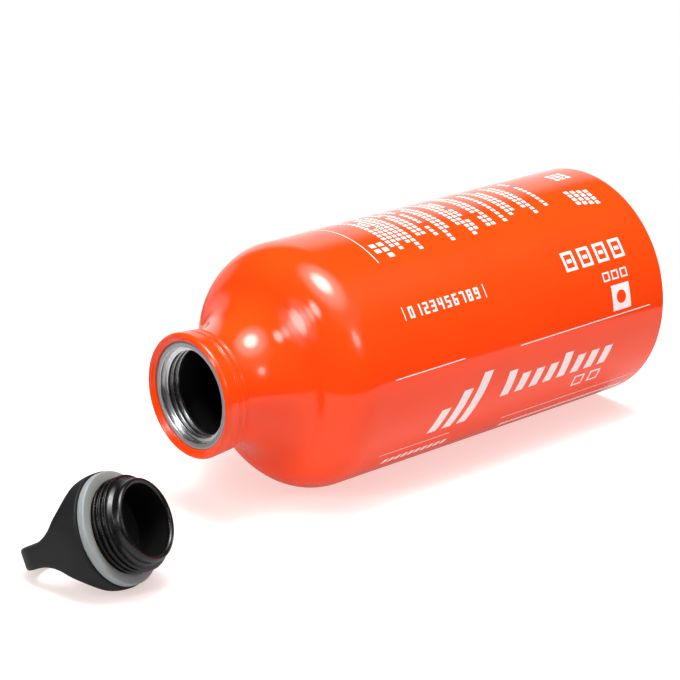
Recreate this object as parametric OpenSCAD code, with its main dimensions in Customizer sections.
// Camping fuel bottle lying on its side, with its screw cap off and lying in front of the mouth.
// Origin: where the barrel touches the floor, straight below the middle of the bottle. The bottle
// axis runs along X, with the base towards +X and the mouth towards -X, and +Z is up. Millimetres.

/* [Bottle] */
// outside diameter of the barrel
body_diameter = 73; // [60:0.5:90]
// length from the front of the lip to the foot ring
bottle_length = 161; // [130:1:230]
// thickness of the aluminium wall
wall = 0.9; // [0.7:0.1:1.4]
// radius of the rounded shoulder where it meets the barrel
shoulder_radius = 15.5; // [8:0.5:25]
// radius of the hollow curve between the neck and the shoulder
flare_radius = 18.5; // [10:0.5:25]
// radius of the corner between the barrel and the base
base_corner = 1.6; // [1.5:0.1:6]
// width of the flat foot ring under the base
foot_width = 3; // [2:0.5:8]
// depth of the hollow in the middle of the base
base_hollow = 3.5; // [2:0.5:6]

/* [Neck] */
// outside diameter of the plain neck behind the collar
neck_diameter = 33.2; // [32.8:0.1:34]
// length of the collar, from the lip to the start of the flare
neck_length = 9.6; // [7:0.2:14]
// outside diameter of the rolled lip
lip_diameter = 36.6; // [35.6:0.1:42]
// radius of the rounded front of the lip
lip_radius = 1.7; // [1.5:0.1:2.2]
// outside diameter of the collar where it ends
collar_diameter = 35.5; // [34.4:0.1:36]
// radius of the fine decorative grooves around the collar
trim_groove = 0.22; // [0.1:0.02:0.3]

/* [Thread] */
// diameter over the bottoms of the thread inside the neck
thread_diameter = 27; // [26:0.1:28]
// advance of the thread in one turn
thread_pitch = 1.8; // [1.6:0.1:2.2]
// depth of the thread
thread_depth = 0.9; // [0.6:0.05:1]
// radial play between the cap thread and the neck thread
thread_clearance = 0.3; // [0.1:0.05:0.4]
// length of the threaded insert in the neck
insert_length = 6.7; // [5.5:0.1:12]
// length of the smooth band in front of the neck thread
insert_lead = 1.5; // [1.2:0.1:3]
// radial step from the bottoms of the thread out to the smooth band
lead_step = 0.7; // [0.3:0.1:1]
// width of the chamfer at the front of the insert
insert_chamfer = 0.5; // [0.3:0.1:0.8]
// how far the insert sits behind the front of the lip
insert_recess = 1.6; // [0.5:0.1:2]

/* [Cap] */
// outside diameter of the cap rim
cap_diameter = 32.5; // [31.6:0.1:40]
// length of the cap from the gasket face to the end of the loop
cap_reach = 30.8; // [28:0.2:45]
// length of the plug in front of the gasket
plug_length = 9; // [7:0.5:12]
// length of the cap thread in front of the gasket
plug_thread_length = 6.4; // [5:0.2:6.6]
// outside diameter of the smooth end of the plug
plug_end_diameter = 23; // [22:0.1:23.6]
// inside diameter of the hollow plug
plug_bore = 19.6; // [15:0.2:20]
// diameter of the flange that holds the plug in the cap
plug_flange_diameter = 28.4; // [27.6:0.1:29]
// thickness of the plug flange
plug_flange = 2; // [1.5:0.1:3]
// thickness of the sealing gasket
gasket_thickness = 2.2; // [1.2:0.1:3]
// outside diameter of the sealing gasket
gasket_diameter = 31.2; // [30.4:0.1:31.4]

/* [Cap loop] */
// width of the loop strap
strap_width = 6.4; // [4:0.2:9]
// thickness of the loop strap
strap_thickness = 3.8; // [2.5:0.1:5]
// outside radius of the two rounded corners of the loop
loop_corner = 9.8; // [7:0.2:10.4]
// distance between the two straight sides of the loop at its end
loop_width = 23; // [21:0.5:27]
// thickness of the solid cap behind the plug flange
cap_deck = 3.6; // [2.5:0.1:6]
// radius of the rounded back edge of the rim
rim_round = 4; // [3:0.5:6]

/* [Layout on the floor] */
// distance from the mouth back to the cap, along the bottle axis
cap_x = 41.1; // [35:0.1:80]
// distance from the bottle axis to the cap, towards the viewer
cap_y = 24.1; // [10:0.1:60]
// heading of the cap thread, turned from the bottle axis
cap_heading = -67; // [-90:1:-30]
// roll of the loop about the cap axis
cap_roll = -9; // [-20:1:0]

/* [Hidden] */
$fn = 128;

body_r = body_diameter / 2;
neck_r = neck_diameter / 2;
insert_r = neck_r - wall;
lip_r = lip_diameter / 2;
collar_r = collar_diameter / 2;

// The shoulder is an S of two arcs that touch; this is the slope where they meet.
shoulder_slope = acos(1 - (body_r - neck_r) / (shoulder_radius + flare_radius));
bend_s = neck_length + flare_radius * sin(shoulder_slope);
barrel_s = neck_length + (shoulder_radius + flare_radius) * sin(shoulder_slope);

foot_inner_r = body_r - base_corner - foot_width;
// Ball that presses the hollow into the base.
hollow_ball = (pow(foot_inner_r, 2) + pow(base_hollow, 2)) / (2 * base_hollow);

thread_root_r = thread_diameter / 2;
thread_crest_r = thread_root_r - thread_depth;
plug_crest_r = thread_root_r - thread_clearance;
plug_root_r = thread_crest_r - thread_clearance;
// The cap thread is a slim ridge, and the groove in the neck follows it with a little play.
ridge_crest = thread_pitch * 0.2;
flank_angle = 15;
flank_play = 0.1;
ridge_root = ridge_crest + 2 * thread_depth * tan(flank_angle);
neck_groove_floor = ridge_crest + flank_play - 2 * thread_clearance * tan(flank_angle);
plug_groove_floor = thread_pitch - ridge_root;
groove_steps = 40;
lead_r = thread_root_r + lead_step;
plug_relief = 0.7;
relief_depth = 0.15;
gasket_bore_r = plug_root_r - relief_depth + thread_clearance;
end_round = 0.9;
plug_floor = 1.4;

cap_r = cap_diameter / 2;
strap_half = strap_width / 2;
loop_half = loop_width / 2;
rim_flat = 0.9;
rim_s = -gasket_thickness - rim_flat;
deck_s = -gasket_thickness - plug_flange - cap_deck;
strap_s = -cap_reach + loop_corner;
// The side of the cap sweeps from the rim to the strap in an S of two touching arcs.
sweep_end_s = rim_s + (strap_s - rim_s) * 1.11;
sweep_angle = 2 * atan((cap_r - strap_half) / (rim_s - sweep_end_s));
sweep_radius = (rim_s - sweep_end_s) / sin(sweep_angle) - rim_round;
sweep_bend_s = rim_s - rim_round * sin(sweep_angle);

// Tangent from the edge of the rim to the rounded corner of the loop.
corner_t = loop_half - loop_corner;
edge_run = rim_s - strap_s;
edge_offset = cap_r - corner_t;
edge_reach = sqrt(pow(edge_run, 2) + pow(edge_offset, 2));
edge_angle = atan2(edge_offset, edge_run) - asin(loop_corner / edge_reach);

// The cap lies on the back of its rim and on the end of its loop. Both functions give how far
// that spot reaches below a point on the cap axis at the gasket face; settle() tips the cap until
// the two are level.
function rim_support(lean) =
    max([
        for (turn = [0:0.5:sweep_angle])
            let (b = cap_r - rim_round + rim_round * cos(turn))
            let (t = sqrt(pow(cap_r, 2) - pow(b, 2)))
            (b * cos(cap_roll) + t * abs(sin(cap_roll))) * cos(lean)
                - (rim_s - rim_round * sin(turn)) * sin(lean)
    ]);
function loop_support(lean) =
    (strap_half * cos(cap_roll) + corner_t * abs(sin(cap_roll))) * cos(lean)
    + (cap_reach - loop_corner) * sin(lean)
    + loop_corner * norm([sin(lean), sin(cap_roll) * cos(lean)]);
function settle(lean, rounds) =
    rounds == 0
        ? lean
        : settle(lean + (rim_support(lean) - loop_support(lean)) / cap_reach * 180 / PI, rounds - 1);
cap_lean = settle(25, 8);
cap_height = rim_support(cap_lean);

// Tool: places a child that is drawn with its mouth or thread towards +Z.
module on_bottle_axis() {
    translate([-bottle_length / 2, 0, body_r])
        rotate([0, 90, 0])
            children();
}

module on_cap_axis() {
    translate([-bottle_length / 2 - cap_x, -cap_y, cap_height])
        rotate([0, 0, cap_heading])
            rotate([0, 90 - cap_lean, 0])
                rotate([0, 0, 90 + cap_roll])
                    children();
}

// Half outline of the bottle, drawn inward by the given inset; X is the radius, Y the distance
// from the lip.
module bottle_outline(inset) {
    neck = neck_r - inset;
    flare = flare_radius + inset;
    bend_r = neck_r + flare_radius - flare * cos(shoulder_slope);
    bend = neck_length + flare * sin(shoulder_slope);
    shoulder = shoulder_radius - inset;
    corner = base_corner - min(inset, base_corner - 1);
    foot = bottle_length - inset;
    square([neck, neck_length]);
    difference() {
        polygon([
            [0, neck_length],
            [neck_r + flare_radius, neck_length],
            [bend_r, bend],
            [0, bend]
        ]);
        translate([neck_r + flare_radius, neck_length])
            circle(r = flare);
    }
    translate([0, bend])
        square([body_r - shoulder_radius, barrel_s - bend]);
    intersection() {
        translate([body_r - shoulder_radius, barrel_s])
            circle(r = shoulder);
        translate([body_r - shoulder_radius, bend])
            square([shoulder_radius, barrel_s - bend]);
    }
    translate([0, barrel_s])
        square([body_r - inset, foot - corner - barrel_s]);
    translate([0, barrel_s])
        square([body_r - inset - corner, foot - barrel_s]);
    translate([body_r - inset - corner, foot - corner])
        circle(r = corner);
}

// Collar of the neck: rounded lip, slightly tapered side and fine grooves.
module collar_outline() {
    difference() {
        union() {
            translate([lip_r - lip_radius, lip_radius])
                circle(r = lip_radius);
            polygon([
                [0, 0],
                [lip_r - lip_radius, 0],
                [lip_r - lip_radius, lip_radius],
                [lip_r, lip_radius],
                [collar_r, neck_length * 0.85],
                [neck_r, neck_length * 0.91],
                [0, neck_length * 0.91]
            ]);
        }
        // ring groove in the front of the lip
        translate([insert_r + 1, 0])
            circle(r = trim_groove * 1.3);
        for (at = [0.49, 0.56, 0.74, 0.8])
            translate([lip_r + (collar_r - lip_r) * (at * neck_length - lip_radius)
                / (neck_length * 0.85 - lip_radius), at * neck_length])
                circle(r = trim_groove);
    }
}

// Seamless aluminium shell with its rolled lip, shoulder, barrel and pressed-in base.
module bottle_shell() {
    color("#F94A12")
        on_bottle_axis()
            rotate_extrude()
                difference() {
                    union() {
                        bottle_outline(0);
                        collar_outline();
                    }
                    difference() {
                        bottle_outline(wall);
                        translate([0, bottle_length - base_hollow + hollow_ball])
                            circle(r = hollow_ball + wall);
                    }
                    translate([0, bottle_length - base_hollow + hollow_ball])
                        circle(r = hollow_ball);
                    translate([-body_diameter, 0])
                        square([body_diameter, bottle_length]);
                }
}

// Section of the thread groove at one step along the helix, from its floor to past its mouth.
function groove_section(angle, rise, floor_r, mouth_r, floor_width) =
    let (half = floor_width / 2 + abs(mouth_r - floor_r) * tan(flank_angle))
    [
        [floor_r * cos(angle), floor_r * sin(angle), rise - floor_width / 2],
        [mouth_r * cos(angle), mouth_r * sin(angle), rise - half],
        [mouth_r * cos(angle), mouth_r * sin(angle), rise + half],
        [floor_r * cos(angle), floor_r * sin(angle), rise + floor_width / 2]
    ];

// Helical groove cutter of a screw thread that starts at from_s and ends at to_s.
module thread_groove(floor_r, mouth_r, floor_width, from_s, to_s) {
    steps = ceil((to_s - from_s) / thread_pitch * groove_steps);
    step_angle = 360 / groove_steps;
    step_rise = thread_pitch / groove_steps;
    points = [
        for (i = [0:steps])
            each groove_section(
                i * step_angle, from_s + i * step_rise, floor_r, mouth_r, floor_width
            )
    ];
    outward = mouth_r > floor_r;
    sides = [
        for (i = [0:steps - 1])
            for (k = [0:3])
                let (a = 4 * i + k, b = 4 * i + (k + 1) % 4)
                each [[a, b, b + 4], [a, b + 4, a + 4]]
    ];
    last = 4 * steps;
    ends = [
        [3, 2, 1],
        [3, 1, 0],
        [last, last + 1, last + 2],
        [last, last + 2, last + 3]
    ];
    faces = concat(sides, ends);
    polyhedron(points = points, faces = outward ? faces : [for (f = faces) [f[2], f[1], f[0]]]);
}

// Turned aluminium ring in the neck: chamfered mouth, smooth lead, then the thread.
module neck_thread_insert() {
    color("#B9BCBE")
        on_bottle_axis()
            difference() {
                rotate_extrude()
                    polygon([
                        [thread_crest_r, insert_recess + insert_lead + 0.5],
                        [lead_r, insert_recess + insert_lead],
                        [lead_r, insert_recess + insert_chamfer],
                        [lead_r + insert_chamfer, insert_recess],
                        [insert_r, insert_recess],
                        [insert_r, insert_recess + insert_length],
                        [thread_crest_r, insert_recess + insert_length]
                    ]);
                thread_groove(
                    thread_root_r,
                    thread_crest_r - 0.3,
                    neck_groove_floor,
                    insert_recess + insert_lead - 0.6,
                    insert_recess + insert_length + thread_pitch * 0.7
                );
            }
}

// Side view of the cap, square to the loop: rim, sweep and strap.
module cap_side_outline() {
    half_sweep_b = cap_r - rim_round + rim_round * cos(sweep_angle);
    translate([-cap_r, rim_s])
        square([cap_diameter, -gasket_thickness - rim_s]);
    for (side = [-1, 1])
        scale([side, 1])
            intersection() {
                translate([cap_r - rim_round, rim_s])
                    circle(r = rim_round);
                translate([cap_r - rim_round, sweep_bend_s])
                    square([rim_round, rim_s - sweep_bend_s]);
            }
    translate([-cap_r + rim_round, sweep_bend_s])
        square([cap_diameter - 2 * rim_round, rim_s - sweep_bend_s]);
    difference() {
        polygon([
            [-half_sweep_b, sweep_bend_s],
            [-strap_half - sweep_radius, sweep_end_s],
            [strap_half + sweep_radius, sweep_end_s],
            [half_sweep_b, sweep_bend_s]
        ]);
        for (side = [-1, 1])
            translate([side * (strap_half + sweep_radius), sweep_end_s])
                circle(r = sweep_radius);
    }
    translate([-strap_half, -cap_reach - 1])
        square([strap_width, cap_reach + 1 + sweep_end_s]);
}

// Face view of the cap, along the hole of the loop.
module cap_face_outline() {
    tangent_t = corner_t + loop_corner * cos(edge_angle);
    tangent_s = strap_s - loop_corner * sin(edge_angle);
    difference() {
        union() {
            translate([-cap_r, rim_s])
                square([cap_diameter, -gasket_thickness - rim_s]);
            polygon([
                [-cap_r, rim_s],
                [-tangent_t, tangent_s],
                [-corner_t, strap_s],
                [-corner_t, -cap_reach],
                [corner_t, -cap_reach],
                [corner_t, strap_s],
                [tangent_t, tangent_s],
                [cap_r, rim_s]
            ]);
            for (side = [-1, 1])
                translate([side * corner_t, strap_s])
                    circle(r = loop_corner);
        }
        loop_hole_outline();
    }
}

// Finger opening of the loop.
module loop_hole_outline() {
    hole_half = loop_half - strap_thickness;
    corner = loop_corner - strap_thickness;
    low = -cap_reach + strap_thickness;
    translate([-hole_half + corner, low])
        square([2 * (hole_half - corner), deck_s - low]);
    translate([-hole_half, low + corner])
        square([2 * hole_half, deck_s - low - 2 * corner]);
    for (side = [-1, 1])
        for (level = [low + corner, deck_s - corner])
            translate([side * (hole_half - corner), level])
                circle(r = corner);
}

// Moulded cap with its carrying loop; the plug flange sits in the pocket in its front.
module cap_loop_cover() {
    color("#2B2B2D")
        on_cap_axis()
            difference() {
                intersection() {
                    rotate([90, 0, 0])
                        linear_extrude(cap_diameter + 2, center = true)
                            cap_face_outline();
                    rotate([90, 0, 90])
                        linear_extrude(cap_diameter + 2, center = true)
                            cap_side_outline();
                    translate([0, 0, -cap_reach - 2])
                        cylinder(r = cap_r, h = cap_reach + 2);
                }
                translate([0, 0, -gasket_thickness - plug_flange])
                    cylinder(d = plug_flange_diameter, h = plug_flange + 1);
            }
}

// Hollow threaded plug with its rounded end and the flange that holds it in the cap.
module cap_thread_plug() {
    flange_s = -gasket_thickness - plug_flange;
    relief_r = plug_root_r - relief_depth;
    color("#161617")
        on_cap_axis()
            difference() {
                rotate_extrude()
                    difference() {
                        union() {
                            translate([0, flange_s])
                                square([plug_flange_diameter / 2, plug_flange]);
                            translate([0, -gasket_thickness])
                                square([relief_r, gasket_thickness + plug_relief]);
                            polygon([
                                [0, plug_relief],
                                [relief_r, plug_relief],
                                [plug_crest_r, plug_relief + 0.5],
                                [plug_crest_r, plug_thread_length - 0.8],
                                [plug_end_diameter / 2, plug_thread_length],
                                [plug_end_diameter / 2, plug_length - end_round],
                                [0, plug_length - end_round]
                            ]);
                            translate([0, plug_length - end_round])
                                square([plug_end_diameter / 2 - end_round, end_round]);
                            translate([plug_end_diameter / 2 - end_round, plug_length - end_round])
                                circle(r = end_round);
                        }
                        translate([-1, flange_s + plug_floor])
                            square([plug_bore / 2 + 1, plug_length - flange_s]);
                        translate([-body_diameter, flange_s])
                            square([body_diameter, cap_reach]);
                    }
                thread_groove(
                    plug_root_r,
                    plug_crest_r + 0.3,
                    plug_groove_floor,
                    plug_relief - 0.9,
                    plug_thread_length + 0.5
                );
            }
}

// Flat silicone washer that seals the cap against the lip.
module cap_gasket() {
    edge = 0.35;
    outer = gasket_diameter / 2;
    color("#AEB4B6")
        on_cap_axis()
            rotate_extrude()
                polygon([
                    [gasket_bore_r, -gasket_thickness],
                    [outer, -gasket_thickness],
                    [outer, -edge],
                    [outer - edge, 0],
                    [gasket_bore_r, 0]
                ]);
}

bottle_shell();
neck_thread_insert();
cap_loop_cover();
cap_thread_plug();
cap_gasket();
